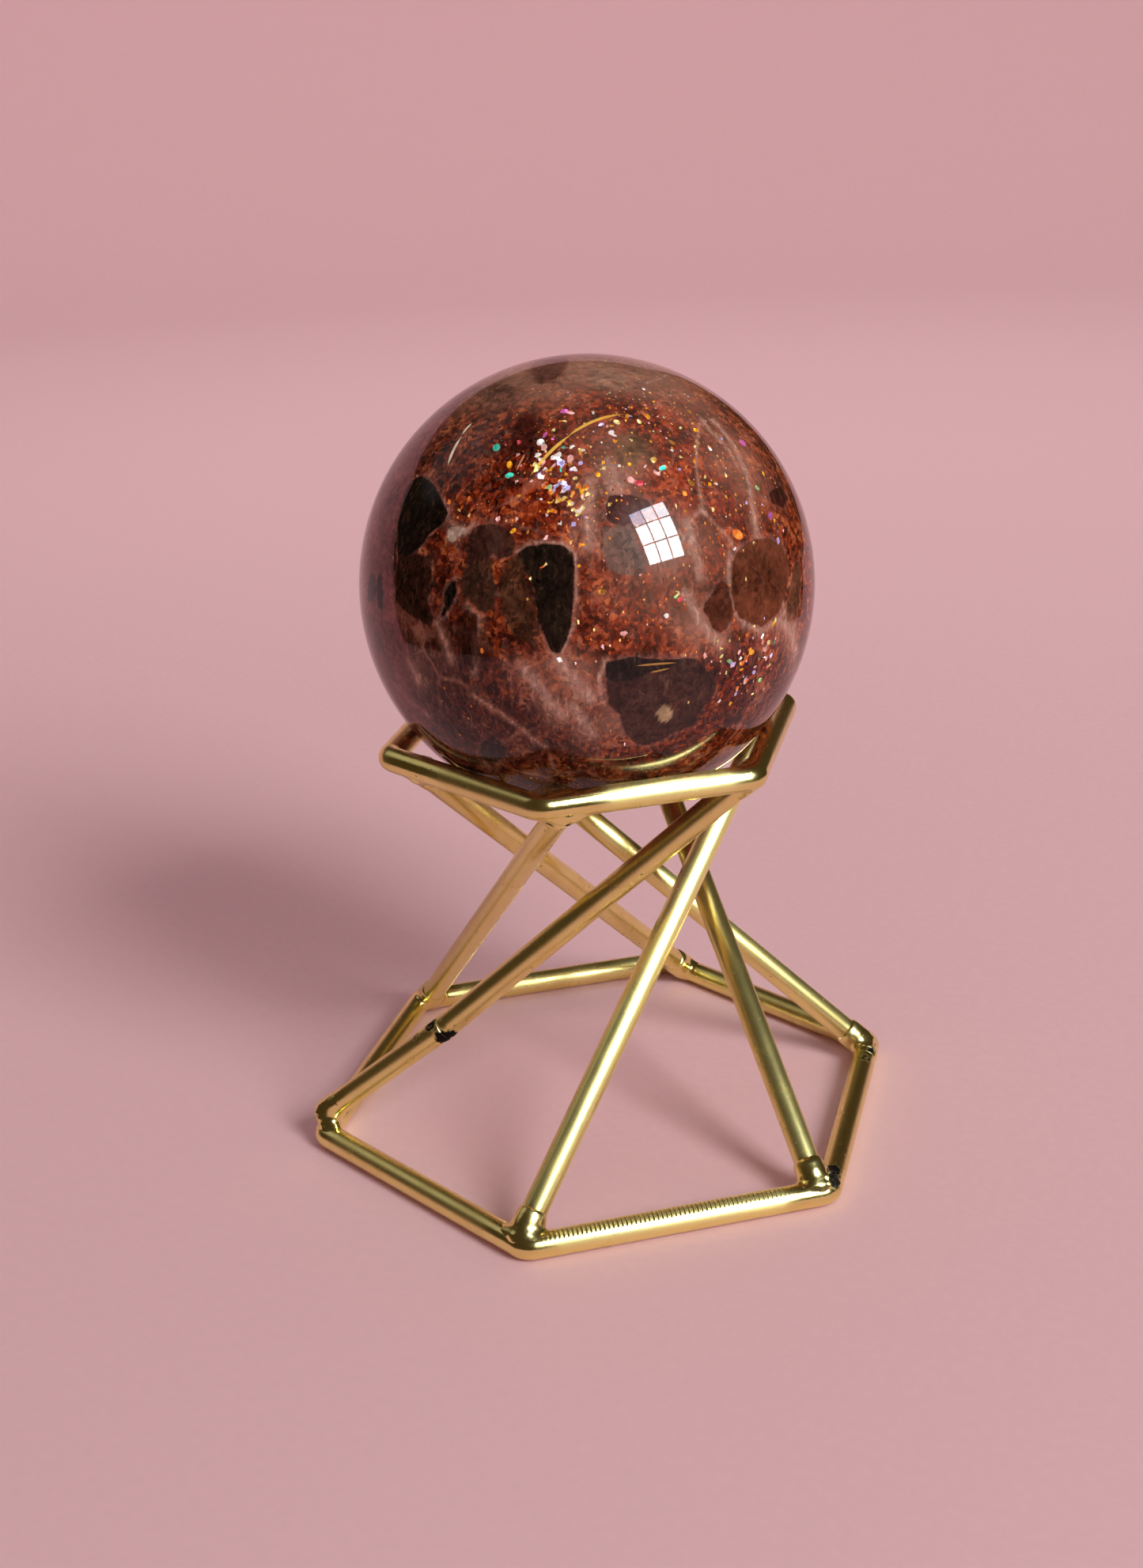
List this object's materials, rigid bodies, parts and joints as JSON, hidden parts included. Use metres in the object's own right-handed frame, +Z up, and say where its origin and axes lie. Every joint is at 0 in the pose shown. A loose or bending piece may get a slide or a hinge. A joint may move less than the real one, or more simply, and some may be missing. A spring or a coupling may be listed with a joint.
{
  "type": "polished stone sphere on a wire stand",
  "caption": "Polished glitter-flecked stone sphere resting loose on a twisted stand of welded gold wire, with hexagonal rings at top and base.",
  "frame": {"origin": "on the surface that the base ring rests on, below the centre of the sphere", "axes": "+Z up through the sphere's centre, -Y towards the front corner of the base ring"},
  "size_m": [0.0625, 0.071, 0.0897],
  "materials": {
    "sunstone": "polished, rust red with dark smoky patches, milky veils and glitter",
    "gold_wire": "bright gold plating"
  },
  "bodies": {
    "root": {"sunstone_sphere": "sunstone", "top_ring": "gold_wire", "base_ring": "gold_wire", "leg_1": "gold_wire", "leg_2": "gold_wire", "leg_3": "gold_wire", "leg_4": "gold_wire", "leg_5": "gold_wire", "leg_6": "gold_wire"}
  },
  "joints": []
}
